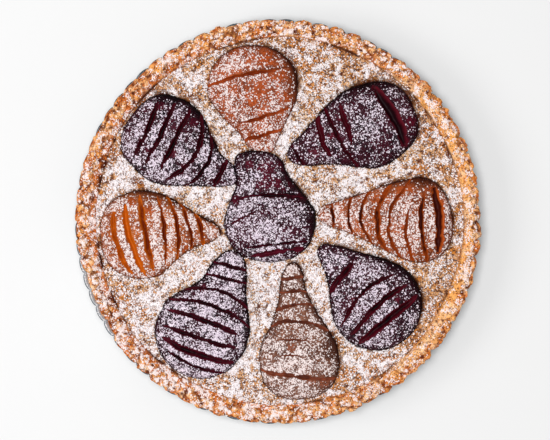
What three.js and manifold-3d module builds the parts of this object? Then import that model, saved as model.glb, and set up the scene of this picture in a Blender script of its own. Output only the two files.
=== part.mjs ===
// A pear and almond tart in its own fluted tin. Millimetres, +Z up, the front of the tart towards -Y.
// The origin is the middle of the tin's underside.
import * as THREE from 'three';
import { mergeVertices } from 'three/addons/utils/BufferGeometryUtils.js';
import Module from 'manifold-3d';

// Fits
const clearance = 0.3;
const radialClearance = 0.45;

// Tin
const fluteCount = 72;
const pointsPerFlute = 4;
const fluteDepth = 2;
const tinHeight = 30;
const tinBaseRadius = 131;
const tinNeckRadius = 139;
const tinLipRadius = 140;
const tinMouthRadius = 138.4;
const tinFloorRadius = 130.1;
const tinFloorHeight = 0.8;
const tinLipDrop = 0.7;
const tinNeckDrop = 1.4;

// Crust
const crustFloorThickness = 4;
const crustFloorRadius = 126.2;
const crustFloorWave = 0.4;
const crustInnerRadius = 127;
const crustInnerHeight = 29.3;
const crustNeckHeight = 30.6;
const crustEdgeHeight = 31.7;
const crustEdgeRadius = 138.3;
const crustEdgeFlute = 1.8;
const overhang = 3;
const shrinkage = 2.2;
const shrinkageTurn = 200 / 360;
const shrinkageSpread = 0.06;
const rimPoints = 144;
const innerPoints = 72;
// each row of the crust's rim: how far in from its edge, its height and the size of its lumps
const rimRows = [
  { inward: 1.6, height: 33.3, lump: 0.7 },
  { inward: 5, height: 34.2, lump: 1 },
  { inward: 8.6, height: 32.6, lump: 0.8 },
];

// Filling
const fillingHeight = 29.8;
const fillingEdgeHeight = 27.6;
const fillingEdgeWidth = 7;
const fillingRadii = [121, 108, 92, 72, 50, 25];
const fillingPoints = [72, 36, 36, 36, 18, 18];

// Pears: halves laid flat side down, sunk in the filling
const pearSeat = 14;
const pearFlank = 27;
const pearRise = 12.5;
const pearRoundness = 2.2;
const pearPointsAcross = 8;
const pearSpacing = 9;
const slitDepth = 4.5;
const slitDepthAtFlank = 0.4;
const pocketGrowth = 0.4;
const pocketFlatness = 0.06;
const pocketTop = 60;

// Each pear: x and y are the middle of its wide end and turn is the way its neck points. half is its half width there,
// blossom and neck reach from there to its two ends, and bend moves its neck sideways. The shoulders are how far each
// flank takes to narrow to neckHalf. Each slit is where it crosses the spine, its slant, its bow, its width, and
// where it starts and stops across the pear, from -1 to 1.
const pears = [
  {
    name: 'pear_back',
    skin: 'amber',
    x: -17, y: 92, turn: -89, half: 31.5, blossom: 30, neck: 45, neckHalf: 10, leftShoulder: 46, rightShoulder: 44,
    bend: 7.5, blunt: 2.1, tip: 14,
    slits: [[-10, -11, -2, 2, -1, 0.6], [21.5, -14, 2, 1.8, -0.6, 0.9], [33, -15, 0, 2, -1, 1]],
  },
  {
    name: 'pear_back_right',
    skin: 'red',
    x: 61, y: 65, turn: -156, half: 29, blossom: 36, neck: 58, neckHalf: 15, leftShoulder: 39, rightShoulder: 52,
    bend: -3.5, blunt: 2.5, tip: 3,
    slits: [
      [-20, -5, -3, 6, -0.9, 0.9], [13, 7, 0, 2.5, -0.8, 0.3], [21, -5, 4, 2, -1, 1], [31, 0, 6, 2.5, -1, 0.6],
      [51, -10, 0, 2, -1, 1],
    ],
  },
  {
    name: 'pear_right',
    skin: 'amber',
    x: 99, y: 1, turn: -172, half: 29, blossom: 22, neck: 70.5, neckHalf: 8, leftShoulder: 59, rightShoulder: 80,
    bend: -14, blunt: 2.3, tip: 12,
    slits: [
      [-10, 6, 0, 4, -0.8, 0.9], [0, 8, 5, 2.5, -0.7, 1], [11, 13, 10, 2, -0.3, 1], [22.5, 11, 14, 2, -1, 1],
      [30.5, 5, 13, 3, -1, 1], [41, -2, 18, 2, -1, 1], [49, -1, 13, 2, -1, 1], [60, 3, 0, 2, -1, 1],
    ],
  },
  {
    name: 'pear_front_right',
    skin: 'red',
    x: 68, y: -57, turn: 125, half: 31.5, blossom: 32, neck: 54.5, neckHalf: 12.5, leftShoulder: 45, rightShoulder: 51,
    bend: 8.5, blunt: 2.1, tip: 4,
    slits: [
      [-13.5, -5, 0, 4.5, -0.9, 0.9], [-1, -7, 5, 3.5, -0.8, 0.85], [12.5, -5, 11, 2.5, -0.7, 0.9],
      [31, -18, -2, 3, -0.5, 1],
    ],
  },
  {
    name: 'pear_front',
    skin: 'amber',
    x: 15, y: -97, turn: 98, half: 28, blossom: 26, neck: 68, neckHalf: 9.5, leftShoulder: 50, rightShoulder: 58,
    bend: -4, blunt: 2.3, tip: 3,
    slits: [
      [-10.5, 14, -2, 3, -1, 1], [28.5, 8, 9.5, 2, -1, 1], [39.5, -1, 10, 2, -1, 1], [48.5, 5, 0, 1.6, -1, 1],
      [58, 4, 0, 2, -1, 1],
    ],
  },
  {
    name: 'pear_front_left',
    skin: 'red',
    x: -51, y: -74, turn: 63, half: 32.5, blossom: 35, neck: 57.5, neckHalf: 15.5, leftShoulder: 35, rightShoulder: 45,
    bend: 3.5, blunt: 2.1, tip: 5,
    slits: [
      [-26, -1, -7, 1.8, -1, 0.6], [-18, -6, -4.5, 4, -0.95, 0.8], [-7, -9, -1.5, 2.5, -0.85, 0.85],
      [6, -7, 3, 3, -0.75, 0.9], [17.5, -7, 8, 2, -1, 1], [28.5, -9, 13, 2, -1, 1], [38, -12, 0, 1.8, -1, 1],
      [47, -10, 0, 1.8, -1, 1],
    ],
  },
  {
    name: 'pear_left',
    skin: 'amber',
    x: -92, y: -9, turn: 5, half: 30.5, blossom: 30.5, neck: 52.5, neckHalf: 12, leftShoulder: 51, rightShoulder: 39,
    bend: -3, blunt: 2.4, tip: 3,
    slits: [
      [-20, -6, -8, 3.5, -1, 0.8], [-10, -9, -4, 4, -0.95, 0.8], [1.5, -5, 0, 4, -0.85, 0.9],
      [14.5, -1, 4, 2, -0.8, 0.9], [23.5, -2, 7, 2.5, -1, 1], [32, -6, 10, 2, -1, 1], [39.5, -8, 10, 3, -1, 1],
    ],
  },
  {
    name: 'pear_back_left',
    skin: 'red',
    x: -74.4, y: 54.5, turn: -38, half: 30, blossom: 32.5, neck: 54, neckHalf: 11, leftShoulder: 40, rightShoulder: 52,
    bend: 8.5, blunt: 2.6, tip: 6,
    slits: [
      [-18, -15, 3, 3, -0.8, 0.75], [-8, -12, 0, 3, -0.75, 0.85], [3, -11, 1, 3, -0.7, 0.9],
      [19.5, -4, 13, 3, -0.8, 1], [30, -9, 15, 2, -1, 1], [40.5, -13, 0, 3, -1, 1],
    ],
  },
  {
    name: 'pear_centre',
    skin: 'red',
    x: -5, y: 0, turn: 91, half: 31.5, blossom: 28, neck: 49, neckHalf: 18, leftShoulder: 35, rightShoulder: 37.5,
    bend: 11, blunt: 2.3, tip: 12,
    slits: [[-21.5, -7, 1.5, 2.5, -1, 0.8], [-16, -6, 1.5, 1.6, -0.9, 0.8], [10, -16, 4, 2, 0.3, 1], [18.5, -1, 5.5, 2.5, -1, 1]],
  },
];

const colours = {
  tin: 0x3b444c,
  crust: 0xcf8f58,
  filling: 0xdcb890,
  red: 0x55303c,
  amber: 0xb5714e,
};

const wasm = await Module();
wasm.setup();

const radians = (degrees) => (degrees * Math.PI) / 180;
const mix = (from, to, share) => from + (to - from) * share;

// A level ring of points round the middle of the tart. turn runs from 0 to 1 round the circle.
function ring(count, radiusAt, heightAt) {
  return Array.from({ length: count }, (_, i) => {
    const turn = i / count;
    const angle = turn * 2 * Math.PI;
    const radius = radiusAt(turn);
    return [radius * Math.cos(angle), radius * Math.sin(angle), heightAt(turn)];
  });
}

// Joins each ring of points to the next, also where one has a multiple of the other's points.
function skin(rings) {
  const starts = [];
  const points = [];
  for (const one of rings) {
    starts.push(points.length);
    points.push(...one);
  }
  const faces = [];
  for (let k = 0; k + 1 < rings.length; k += 1) {
    const [low, high] = [rings[k].length, rings[k + 1].length];
    const steps = Math.max(low, high);
    const corner = (start, count, i) => start + (Math.round((i * count) / steps) % count);
    for (let i = 0; i < steps; i += 1) {
      const a = corner(starts[k], low, i);
      const b = corner(starts[k], low, i + 1);
      const c = corner(starts[k + 1], high, i);
      const d = corner(starts[k + 1], high, i + 1);
      if (a !== b) faces.push([a, b, d]);
      if (c !== d) faces.push([a, d, c]);
    }
  }
  return solidFrom(points, faces);
}

function solidFrom(points, faces) {
  const geometry = new THREE.BufferGeometry();
  geometry.setAttribute('position', new THREE.Float32BufferAttribute(points.flat(), 3));
  geometry.setIndex(faces.flat());
  return solidOf(geometry);
}

// A closed solid from any closed geometry, with the faces that have no area left out
function solidOf(geometry) {
  const bare = new THREE.BufferGeometry();
  bare.setAttribute('position', geometry.getAttribute('position'));
  bare.setIndex(geometry.getIndex());
  const merged = mergeVertices(bare, 1e-3);
  const index = merged.getIndex().array;
  const corners = [];
  for (let i = 0; i < index.length; i += 3) {
    const [a, b, c] = [index[i], index[i + 1], index[i + 2]];
    if (a !== b && b !== c && c !== a) corners.push(a, b, c);
  }
  return new wasm.Manifold(new wasm.Mesh({
    numProp: 3,
    vertProperties: new Float32Array(merged.getAttribute('position').array),
    triVerts: new Uint32Array(corners),
  }));
}

// How far the wall is drawn in at this part of the circle: nothing at the crest of a flute, most between two flutes
function fluteInset(turn, depth) {
  const along = (turn * fluteCount) % 1;
  return depth * (1 - Math.sqrt(1 - (2 * along - 1) ** 2));
}

function tin() {
  const count = fluteCount * pointsPerFlute;
  const wall = (radius, height) => ring(count, (turn) => radius - fluteInset(turn, fluteDepth), () => height);
  return skin([
    [[0, 0, 0]],
    wall(tinBaseRadius, 0),
    wall(tinNeckRadius, tinHeight - tinNeckDrop),
    wall(tinLipRadius, tinHeight - tinLipDrop),
    wall(tinLipRadius - tinLipDrop / 2, tinHeight),
    wall(tinMouthRadius, tinHeight),
    wall(tinFloorRadius, tinFloorHeight),
    [[0, 0, tinFloorHeight]],
  ]);
}

// How far the crust has drawn back from the tin while it baked
function drawnBack(turn) {
  return shrinkage * Math.exp(-(((turn - shrinkageTurn) / shrinkageSpread) ** 2));
}

// The crust's edge hangs over the tin on the right and stays inside it elsewhere.
function crustEdge(turn) {
  const right = 0.5 + 0.5 * Math.cos(2 * Math.PI * turn);
  return crustEdgeRadius + overhang * right * right - drawnBack(turn) - fluteInset(turn, crustEdgeFlute);
}

function lump(turn, row) {
  const angle = 2 * Math.PI * turn;
  return 0.45 * Math.sin(11 * angle + 1.7 * row) + 0.4 * Math.sin(23 * angle + 2.9 * row)
    + 0.35 * Math.sin(37 * angle + 0.8 * row);
}

function innerWave(turn) {
  const angle = 2 * Math.PI * turn;
  return 1.4 * Math.cos(angle - 0.17) + 0.4 * Math.sin(5 * angle + 1) + 0.3 * Math.sin(8 * angle + 2);
}

function tinInsideRadius(height) {
  return mix(tinFloorRadius, tinMouthRadius, (height - tinFloorHeight) / (tinHeight - tinFloorHeight));
}

function crustInsideRadius(height, turn) {
  const floor = tinFloorHeight + clearance + crustFloorThickness;
  const up = (height - floor) / (crustInnerHeight - floor);
  return mix(crustFloorRadius, crustInnerRadius, up) + mix(crustFloorWave, 1, up) * innerWave(turn);
}

function crust() {
  const count = fluteCount * pointsPerFlute;
  const underside = tinFloorHeight + clearance;
  const floor = underside + crustFloorThickness;
  const wall = (radius, height, share) => ring(
    count,
    (turn) => radius - radialClearance - share * drawnBack(turn) - fluteInset(turn, fluteDepth),
    () => height,
  );
  const rim = rimRows.map((row, k) => ring(
    k === 0 ? count : rimPoints,
    (turn) => mix(crustEdge(turn), crustEdgeRadius, k / rimRows.length) - row.inward + 0.4 * lump(turn, k + 5),
    (turn) => row.height + row.lump * lump(turn, k),
  ));
  return skin([
    [[0, 0, underside]],
    wall(tinInsideRadius(underside), underside, 0),
    wall(tinInsideRadius(tinHeight), crustNeckHeight, 1),
    ring(count, crustEdge, (turn) => crustEdgeHeight + 0.4 * lump(turn, 3)),
    ...rim,
    ring(innerPoints, (turn) => crustInsideRadius(crustInnerHeight, turn), () => crustInnerHeight),
    ring(innerPoints, (turn) => crustInsideRadius(floor, turn), () => floor),
    [[0, 0, floor]],
  ]);
}

// The filling has puffed up gently between the pears and dips where it meets the crust.
function fillingSurface(x, y) {
  const fromEdge = crustInnerRadius - Math.hypot(x, y);
  const edge = (fillingHeight - fillingEdgeHeight) * Math.exp(-Math.max(fromEdge, 0) / fillingEdgeWidth);
  const puffs = 0.6 * Math.sin(x / 15 + 1) * Math.cos(y / 13) + 0.4 * Math.sin((x + y) / 11 + 2);
  return fillingHeight - edge + puffs;
}

function fillingRing(count, radius) {
  return ring(count, () => radius, () => 0).map(([x, y]) => [x, y, fillingSurface(x, y)]);
}

function filling() {
  const underside = tinFloorHeight + clearance + crustFloorThickness + clearance;
  const wall = (height) => ring(
    innerPoints,
    (turn) => crustInsideRadius(height, turn) - radialClearance,
    () => height,
  );
  const body = skin([
    [[0, 0, underside]],
    wall(underside),
    wall(fillingEdgeHeight),
    ...fillingRadii.map((radius, k) => fillingRing(fillingPoints[k], radius)),
    [[0, 0, fillingSurface(0, 0)]],
  ]);
  return pears.reduce((rest, pear) => rest.subtract(grownPrism(pear)), body);
}

// Half the pear's width at a place along its spine, on its left side or its right
function pearHalfWidth(pear, along, side) {
  if (along <= 0) {
    const share = Math.min(-along / pear.blossom, 1);
    return pear.half * (1 - share ** pear.blunt) ** (1 / pear.blunt);
  }
  const shoulder = side > 0 ? pear.leftShoulder : pear.rightShoulder;
  const narrowed = 0.5 + 0.5 * Math.cos(Math.PI * Math.min(along / shoulder, 1));
  const end = Math.sqrt(1 - Math.min(along / pear.neck, 1) ** pear.tip);
  return mix(pear.neckHalf, pear.half, narrowed) * end;
}

function pearPlace(pear, along, across) {
  const angle = radians(pear.turn);
  const sideways = across + pear.bend * (Math.max(along, 0) / pear.neck) ** 2;
  return [
    pear.x + along * Math.cos(angle) - sideways * Math.sin(angle),
    pear.y + along * Math.sin(angle) + sideways * Math.cos(angle),
  ];
}

function pearDome(pear, along, across) {
  const width = pearHalfWidth(pear, along, across);
  if (width <= 0) return pearFlank;
  const rise = pearRise * (width / pear.half) ** 0.8;
  const share = Math.min(Math.abs(across) / width, 1);
  return pearFlank + rise * (1 - share ** pearRoundness) ** (1 / pearRoundness);
}

// A line across the pear follows its nearest slit's slant and bow.
function alongAt(pear, line, across) {
  return line.at + across * Math.tan(radians(line.slant)) - line.bow * (across / pear.half) ** 2;
}

// How far out along a line the pear's flank is, on one side
function flankAt(pear, line, side) {
  let inside = 0;
  let outside = pear.half * 1.1;
  for (let i = 0; i < 40; i += 1) {
    const middle = (inside + outside) / 2;
    const width = pearHalfWidth(pear, alongAt(pear, line, side * middle), side);
    if (width > middle) inside = middle;
    else outside = middle;
  }
  return side * inside;
}

// The lines across the pear: three for each slit, and plain ones between them and out to both ends
function pearLines(pear) {
  const slits = pear.slits.flatMap(([at, slant, bow, width, start, stop]) => [
    { at: at - width / 2, slant, bow, start, stop, depth: 0 },
    { at, slant, bow, start, stop, depth: slitDepth },
    { at: at + width / 2, slant, bow, start, stop, depth: 0 },
  ]);
  const plain = { start: -1, stop: 1, depth: 0 };
  const first = slits[0];
  const last = slits[slits.length - 1];
  const endLine = (end, from, share) => ({
    ...plain,
    at: mix(end, from.at, share),
    slant: from.slant * share,
    bow: from.bow * share,
  });
  const lines = [0.02, 0.12, 0.35, 0.65].map((share) => endLine(-pear.blossom, first, share));
  slits.forEach((line, k) => {
    lines.push(line);
    const next = slits[k + 1];
    if (!next) return;
    const parts = Math.max(Math.round((next.at - line.at) / pearSpacing), 1);
    for (let i = 1; i < parts; i += 1) {
      lines.push({
        ...plain,
        at: mix(line.at, next.at, i / parts),
        slant: mix(line.slant, next.slant, i / parts),
        bow: mix(line.bow, next.bow, i / parts),
      });
    }
  });
  const beyond = [0.6, 0.3, 0.1, 0.02].filter((share) => (pear.neck - last.at) * share < pear.neck - last.at - 2);
  return [...lines, ...beyond.map((share) => endLine(pear.neck, last, share))];
}

// One loop of points down one flank, under the pear, up the other flank and back over the top along a line
function pearLoop(pear, line) {
  const [left, right] = [flankAt(pear, line, 1), flankAt(pear, line, -1)];
  const top = Array.from({ length: pearPointsAcross }, (_, i) => {
    const share = Math.cos((Math.PI * i) / (pearPointsAcross - 1));
    const across = share > 0 ? left * share : -right * share;
    const along = alongAt(pear, line, across);
    const inSlit = share >= line.start && share <= line.stop;
    const depth = inSlit ? line.depth * mix(1, slitDepthAtFlank, share * share) : 0;
    return [...pearPlace(pear, along, across), pearDome(pear, along, across) - depth];
  });
  const [leftTop, rightTop] = [top[0], top[top.length - 1]];
  return [[leftTop[0], leftTop[1], pearSeat], ...top, [rightTop[0], rightTop[1], pearSeat]];
}

function pearEnd(pear, along) {
  const [x, y] = pearPlace(pear, along, 0);
  const high = Array.from({ length: pearPointsAcross }, () => [x, y, pearFlank]);
  return [[x, y, pearSeat], ...high, [x, y, pearSeat]];
}

// The pear's outline anticlockwise from its neck, without the points that lie on a nearly straight run
function pearOutline(pear) {
  const lines = pearLines(pear);
  const flank = (side) => lines.map((line) => {
    const across = flankAt(pear, line, side);
    return pearPlace(pear, alongAt(pear, line, across), across);
  });
  const whole = [
    pearPlace(pear, pear.neck, 0),
    ...flank(1).reverse(),
    pearPlace(pear, -pear.blossom, 0),
    ...flank(-1),
  ].map(([x, y]) => new THREE.Vector2(x, y));
  return whole.reduce((kept, point, i) => {
    const before = kept[kept.length - 1] ?? whole[whole.length - 1];
    const after = whole[(i + 1) % whole.length];
    const run = after.clone().sub(before);
    const offLine = Math.abs(run.cross(point.clone().sub(before))) / run.length();
    return offLine < pocketFlatness ? kept : [...kept, point];
  }, []);
}

// The pear's outline moved out all round, as an upright prism from just under the pear to well above it
function grownPrism(pear) {
  const outline = pearOutline(pear);
  const count = outline.length;
  const outward = (from, to) => new THREE.Vector2(to.y - from.y, from.x - to.x).normalize();
  const grown = outline.map((point, i) => {
    const before = outward(outline[(i + count - 1) % count], point);
    const after = outward(point, outline[(i + 1) % count]);
    const reach = pocketGrowth / (1 + before.dot(after));
    return point.clone().add(before.add(after).multiplyScalar(reach));
  });
  const floor = pearSeat - clearance;
  const geometry = new THREE.ExtrudeGeometry(new THREE.Shape(grown), { depth: pocketTop - floor, bevelEnabled: false });
  return solidOf(geometry.translate(0, 0, floor));
}

function pearSolid(pear) {
  const loops = pearLines(pear).map((line) => pearLoop(pear, line));
  return skin([pearEnd(pear, -pear.blossom), ...loops, pearEnd(pear, pear.neck)]);
}

// The middle pear lies whole, and the necks that reach it stop short of its flank.
function pearNodes() {
  const centre = pears[pears.length - 1];
  return pears.map((pear) => {
    const solid = pearSolid(pear);
    return { name: pear.name, colour: colours[pear.skin], solid: pear === centre ? solid : solid.subtract(grownPrism(centre)) };
  });
}

function meshOf({ name, solid, colour, roughness = 0.85, metalness = 0 }) {
  const { numProp, vertProperties, triVerts } = solid.getMesh();
  const positions = [];
  for (let i = 0; i < vertProperties.length; i += numProp) {
    positions.push(vertProperties[i], vertProperties[i + 1], vertProperties[i + 2]);
  }
  const geometry = new THREE.BufferGeometry();
  geometry.setAttribute('position', new THREE.Float32BufferAttribute(positions, 3));
  geometry.setIndex(Array.from(triVerts));
  geometry.computeVertexNormals();
  const mesh = new THREE.Mesh(geometry, new THREE.MeshStandardMaterial({ color: colour, roughness, metalness }));
  mesh.name = name;
  return mesh;
}

const tart = new THREE.Group();
tart.name = 'pear_tart';
const nodes = [
  { name: 'tin', solid: tin(), colour: colours.tin, roughness: 0.5, metalness: 0.6 },
  { name: 'crust', solid: crust(), colour: colours.crust },
  { name: 'frangipane', solid: filling(), colour: colours.filling },
  ...pearNodes(),
];
nodes.forEach((node) => tart.add(meshOf(node)));

export default tart;
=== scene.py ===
# A pear and almond tart in its fluted tin, dusted with icing sugar
# Lengths are in millimetres and angles in degrees; a mesh is turned into metres when it is made.
import math

import bpy
import numpy as np
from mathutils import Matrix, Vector


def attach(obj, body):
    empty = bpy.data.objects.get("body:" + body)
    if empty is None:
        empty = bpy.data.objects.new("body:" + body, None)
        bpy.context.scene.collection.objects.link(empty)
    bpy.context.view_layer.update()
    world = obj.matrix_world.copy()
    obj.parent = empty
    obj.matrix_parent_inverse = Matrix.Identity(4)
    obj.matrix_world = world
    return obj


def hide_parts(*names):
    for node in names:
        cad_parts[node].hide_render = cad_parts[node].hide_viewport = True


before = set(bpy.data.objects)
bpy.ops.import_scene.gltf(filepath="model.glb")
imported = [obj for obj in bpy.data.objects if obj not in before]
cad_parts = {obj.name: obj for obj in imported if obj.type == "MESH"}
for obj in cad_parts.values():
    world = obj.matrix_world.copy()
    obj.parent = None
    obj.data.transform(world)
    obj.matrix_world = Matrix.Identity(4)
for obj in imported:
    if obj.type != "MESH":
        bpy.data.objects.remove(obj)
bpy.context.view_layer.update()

mm = 0.001
fullTurn = 2 * math.pi
scene = bpy.context.scene
scene.view_settings.view_transform = "Standard"


def mixed(low, high, share):
    return low + (high - low) * share


def ramp(low, high, value):  # 0 below low, 1 above high, smooth between
    share = np.clip((value - low) / (high - low), 0, 1)
    return share * share * (3 - 2 * share)


# Noise for shapes, from one lattice of random numbers
latticeSize = 32
lattice = np.random.default_rng(11).random((latticeSize, latticeSize, latticeSize, 4))
seedSteps = np.array([7, 13, 19])


def latticeAt(cell, seed):
    index = (cell + seed * seedSteps) % latticeSize
    return lattice[index[..., 0], index[..., 1], index[..., 2]]


def softNoise(points, size, seed):  # from -1 to 1, with bumps about this size
    place = points / size + 0.37 * seed
    cell = np.floor(place).astype(int)
    part = place - cell
    part = part * part * (3 - 2 * part)
    total = np.zeros(len(points))
    for corner in np.ndindex(2, 2, 2):
        weight = np.prod(np.where(corner, part, 1 - part), axis=1)
        total += weight * latticeAt(cell + corner, seed)[:, 0]
    return total * 2 - 1


def roughNoise(points, size, seed, layers=3):  # soft noise with finer layers on it
    return sum(softNoise(points, size / 2**k, seed + k) / 2**k for k in range(layers))


def layered(points, layers, seed, step, finer):  # noise of each of these sizes and depths
    parts = enumerate(layers)
    return sum(depth * roughNoise(points, size, seed + step * k, finer) for k, (size, depth) in parts)


def nearestSpot(points, size, seed):  # how far the nearest scattered spot is, and its own random number
    place = points / size
    cell = np.floor(place).astype(int)
    nearest = np.full(len(points), 9.0)
    own = np.zeros(len(points))
    for step in np.ndindex(3, 3, 3):
        there = cell + np.array(step) - 1
        drawn = latticeAt(there, seed)
        away = np.linalg.norm(place - there - drawn[:, :3], axis=1)
        closer = away < nearest
        nearest = np.where(closer, away, nearest)
        own = np.where(closer, drawn[:, 3], own)
    return nearest * size, own


def linear(red, green, blue):  # a colour as seen on a screen, 0 to 255, as the shader wants it
    channels = [value / 255 for value in (red, green, blue)]
    return [c / 12.92 if c <= 0.04045 else ((c + 0.055) / 1.055) ** 2.4 for c in channels] + [1.0]


# Shader nodes: a Value wraps a socket, and sums of values add Math nodes
class Value:
    def __init__(self, graph, socket):
        self.graph = graph
        self.socket = socket

    def maths(self, operation, first, second=0.0):
        return self.graph.node("ShaderNodeMath", {"operation": operation}, {0: first, 1: second})

    def __add__(self, other):
        return self.maths("ADD", self, other)

    def __sub__(self, other):
        return self.maths("SUBTRACT", self, other)

    def __rsub__(self, other):
        return self.maths("SUBTRACT", other, self)

    def __mul__(self, other):
        return self.maths("MULTIPLY", self, other)

    def atMost(self, other):
        return self.maths("MINIMUM", self, other)

    def atLeast(self, other):
        return self.maths("MAXIMUM", self, other)

    def clipped(self):
        return self.atMost(1.0).atLeast(0.0)

    def step(self, low, high):  # 0 below low, 1 above high, smooth between
        smooth = {"interpolation_type": "SMOOTHSTEP"}
        return self.graph.node("ShaderNodeMapRange", smooth, {0: self, 1: low, 2: high})

    __radd__ = __add__
    __rmul__ = __mul__


class Graph:
    def __init__(self, name, specular=0.5):
        self.material = bpy.data.materials.new(name)
        self.material.use_nodes = True
        self.tree = self.material.node_tree
        self.shader = self.tree.nodes["Principled BSDF"]
        self.shader.inputs["Specular IOR Level"].default_value = specular

    def node(self, kind, settings=None, inputs=None, output=0):
        made = self.tree.nodes.new(kind)
        for key, value in (settings or {}).items():
            setattr(made, key, value)
        for key, value in (inputs or {}).items():
            self.feed(made.inputs[key], value)
        return Value(self, made.outputs[output])

    def feed(self, socket, value):
        if isinstance(value, Value):
            self.tree.links.new(value.socket, socket)
        elif socket.type == "RGBA":
            socket.default_value = linear(*value)
        else:
            socket.default_value = value

    def place(self):
        return self.node("ShaderNodeTexCoord", output="Object")

    def noise(self, size, detail=2.0, roughness=0.6, seed=0.0):  # size of its bumps in millimetres
        return self.node("ShaderNodeTexNoise", {"noise_dimensions": "4D"}, {
            "Vector": self.place(), "W": seed, "Scale": 1 / (size * mm), "Detail": detail,
            "Roughness": roughness,
        })

    def specks(self, size, cover, seed):  # 1 on scattered specks that cover this share of the surface
        wobble = self.node("ShaderNodeTexNoise", {}, {
            "Vector": self.place(), "Scale": 1 / (0.7 * size * mm), "Detail": 1.0,
        }, output="Color")
        shifted = self.node("ShaderNodeVectorMath", {"operation": "MULTIPLY_ADD"}, {
            0: wobble, 1: [0.8 * size * mm] * 3, 2: self.place(),
        })
        moved = self.node("ShaderNodeVectorMath", {"operation": "ADD"}, {0: shifted, 1: [seed] * 3})
        away = self.node("ShaderNodeTexVoronoi", {"feature": "F1"}, {
            "Vector": moved, "Scale": 1 / (size * mm), "Randomness": 1.0,
        })
        reach = cover.maths("POWER", cover, 0.4) * 0.62
        return (reach - away).step(-0.05, 0.05)

    def mark(self, name):  # a number kept with each point of the mesh
        return self.node("ShaderNodeAttribute", {"attribute_name": name}, output="Fac")

    def blend(self, low, high, share):  # two colours
        settings = {"data_type": "RGBA", "blend_type": "MIX", "clamp_factor": True}
        return self.node("ShaderNodeMix", settings, {0: share, 6: low, 7: high}, output=2)

    def finish(self, colour, roughness, height, depth):
        self.feed(self.shader.inputs["Base Color"], colour)
        self.feed(self.shader.inputs["Roughness"], roughness)
        bump = self.node("ShaderNodeBump", {}, {"Strength": 1.0, "Distance": depth * mm, "Height": height})
        self.feed(self.shader.inputs["Normal"], bump)
        return self.material


sugarLook = {  # the colour of sugar in light and a painted shaded copy of it, for what it lies on
    "plain": ((254, 248, 249), (216, 204, 208)),
    "pastry": ((255, 243, 240), (228, 202, 198)),
    "red": ((248, 236, 246), (192, 172, 192)),
    "amber": ((249, 237, 235), (218, 194, 190)),
    "speckSize": 1.25,
    "dustSize": 0.7,
}


def dusted(graph, colour, density, kind="plain"):  # icing sugar over a colour: specks, finer dust and a veil
    litSugar, shadedSugar = sugarLook[kind]
    onPear = kind in skins
    clumps = graph.noise(1.9, 2.0, seed=3.0).step(0.3, 0.7)
    amount = (density * (clumps * 0.9 + 0.55)).clipped()
    specks = graph.specks(sugarLook["speckSize"], amount * (0.3 if onPear else 0.42), 0.13)
    dust = graph.specks(sugarLook["dustSize"], amount * 0.3, 0.31)
    cover = specks.atLeast(dust * (0.2 if onPear else 0.35))
    # sugar tinted at random between its lit colour and its painted shaded copy, as painted shade between
    # clumps
    tint = graph.blend(shadedSugar, litSugar, graph.noise(1.3, 1.0, seed=8.0).step(0.36, 0.52))
    # the veil is sugar in its painted shaded colour
    veiled = graph.blend(colour, shadedSugar, density * density * (0.1 if onPear else 0.3))
    return graph.blend(veiled, tint, cover), cover


# Meshes
def addMesh(name, points, faces):
    mesh = bpy.data.meshes.new(name)
    mesh.from_pydata((np.asarray(points) * mm).tolist(), [], faces)
    added = bpy.data.objects.new(name, mesh)
    scene.collection.objects.link(added)
    return added


def readMesh(items, key, width, kind=float):  # a row of numbers for each vertex, triangle or mark
    values = np.zeros(len(items) * width, kind)
    items.foreach_get(key, values)
    return values.reshape(-1, width)


def makePiece(name, points, faces, material, marks):
    piece = addMesh(name, points, faces)
    for key, values in marks.items():
        mark = piece.data.attributes.new(key, "FLOAT", "POINT")
        mark.data.foreach_set("value", np.asarray(values, np.float32))
    piece.data.materials.append(material)
    piece.data.shade_smooth()
    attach(piece, "root")
    return piece


def gridFaces(rows, count):  # quads between closed rings of the same count
    row, place = np.meshgrid(np.arange(rows - 1), np.arange(count), indexing="ij")
    following = (place + 1) % count
    corners = [row * count + place, row * count + following,
               (row + 1) * count + following, (row + 1) * count + place]
    return np.stack(corners, axis=-1).reshape(-1, 4).tolist()


def fan(ring, middle, flipped=False):
    pairs = zip(ring, [*ring[1:], ring[0]])
    return [[b, a, middle] if flipped else [a, b, middle] for a, b in pairs]


def ringsSolid(rings, lowMiddle, highMiddle):  # from the underside up, over and down inside
    count = len(rings[0])
    last = len(rings) * count
    points = np.concatenate([*rings, [lowMiddle], [highMiddle]])
    ends = fan(list(range(count)), last, flipped=True) + fan(list(range(last - count, last)), last + 1)
    return points, gridFaces(len(rings), count) + ends


def ringNormals(points):  # of a grid of closed rings, shaped rows x count x 3
    around = np.roll(points, -1, axis=1) - np.roll(points, 1, axis=1)
    across = np.gradient(points, axis=0)
    normals = np.cross(around, across)
    return normals / np.maximum(np.linalg.norm(normals, axis=2, keepdims=True), 1e-9)


def ringAt(turns, radius, height):
    angle = turns * fullTurn
    return np.stack([radius * np.cos(angle), radius * np.sin(angle), height + 0 * turns], axis=-1)


# Tin
tin = {
    "height": 30,
    "baseRadius": 131,
    "neckRadius": 138.95,
    "lipRadius": 139.95,
    "mouthRadius": 138.4,
    "floorRadius": 130.1,
    "floorHeight": 0.8,
    "lipDrop": 0.7,
    "neckDrop": 1.4,
    "fluteCount": 72,
    "fluteDepth": 2,
    "pointsPerFlute": 16,
    "wallRows": 5,
    "wornDustAndSheenTurn": 204 / 360,  # the bare lip and inside wall, worn and dusted, and pale partly as a painted reflection
    "wornDustAndSheenSpread": 20 / 360,
}


def fluteInset(turns, depth):  # nothing at the crest of a flute, most between two flutes
    along = (turns * tin["fluteCount"]) % 1
    return depth * (1 - np.sqrt(np.clip(1 - (2 * along - 1) ** 2, 0, 1)))


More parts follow.
